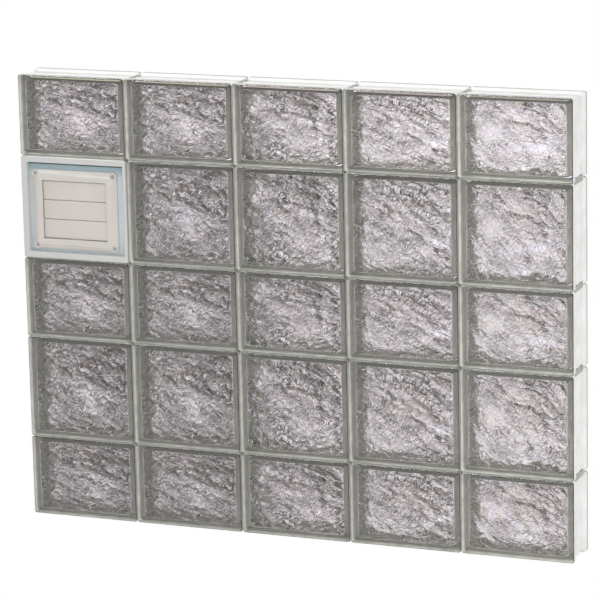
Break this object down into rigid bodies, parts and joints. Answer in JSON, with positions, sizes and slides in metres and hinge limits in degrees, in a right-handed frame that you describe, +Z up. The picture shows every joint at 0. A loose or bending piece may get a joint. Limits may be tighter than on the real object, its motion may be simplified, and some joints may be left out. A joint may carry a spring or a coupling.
{
  "type": "glass block window panel",
  "caption": "Frameless panel of sealed hollow glass blocks with an ice pattern, for filling a window opening, with a louvred air vent in place of one block.",
  "frame": {"origin": "middle of the panel's foot, halfway through its thickness", "axes": "+X along the panel to the right as seen from outdoors, -Y out of the outdoor face, +Z up"},
  "size_m": [0.9832, 0.0794, 0.7737],
  "materials": {
    "glass": "clear pressed glass, smooth outside and ice pattern inside, edges coated white",
    "sealant": "satin pale grey sealant",
    "white_vinyl": "satin off-white vinyl",
    "blue_board": "satin pale blue board",
    "almond_plastic": "satin almond moulded plastic"
  },
  "bodies": {
    "panel": {"block_row1_col1": "glass", "block_row1_col2": "glass", "block_row1_col3": "glass", "block_row1_col4": "glass", "block_row1_col5": "glass", "block_row2_col2": "glass", "block_row2_col3": "glass", "block_row2_col4": "glass", "block_row2_col5": "glass", "block_row3_col1": "glass", "block_row3_col2": "glass", "block_row3_col3": "glass", "block_row3_col4": "glass", "block_row3_col5": "glass", "block_row4_col1": "glass", "block_row4_col2": "glass", "block_row4_col3": "glass", "block_row4_col4": "glass", "block_row4_col5": "glass", "block_row5_col1": "glass", "block_row5_col2": "glass", "block_row5_col3": "glass", "block_row5_col4": "glass", "block_row5_col5": "glass", "column_joint_1": "sealant", "column_joint_2": "sealant", "column_joint_3": "sealant", "column_joint_4": "sealant", "row_joint_1": "sealant", "row_joint_2": "sealant", "row_joint_3": "sealant", "row_joint_4": "sealant", "vent_frame": "white_vinyl", "vent_board": "blue_board", "vent_back_plate": "white_vinyl", "duct_socket": "white_vinyl", "louver_cover": "almond_plastic"},
    "top_flap": {"flap_top": "almond_plastic"},
    "middle_flap": {"flap_middle": "almond_plastic"},
    "bottom_flap": {"flap_bottom": "almond_plastic"}
  },
  "joints": [
    {"name": "top_flap_hinge", "type": "hinge", "parent": "panel", "child": "top_flap", "pos_m": [-0.3937, -0.03394, 0.59015], "axis": [-1, 0, 0], "range_deg": [0, 70]},
    {"name": "middle_flap_hinge", "type": "hinge", "parent": "panel", "child": "middle_flap", "pos_m": [-0.3937, -0.03394, 0.55672], "axis": [-1, 0, 0], "range_deg": [0, 70]},
    {"name": "bottom_flap_hinge", "type": "hinge", "parent": "panel", "child": "bottom_flap", "pos_m": [-0.3937, -0.03394, 0.52328], "axis": [-1, 0, 0], "range_deg": [0, 70]}
  ]
}
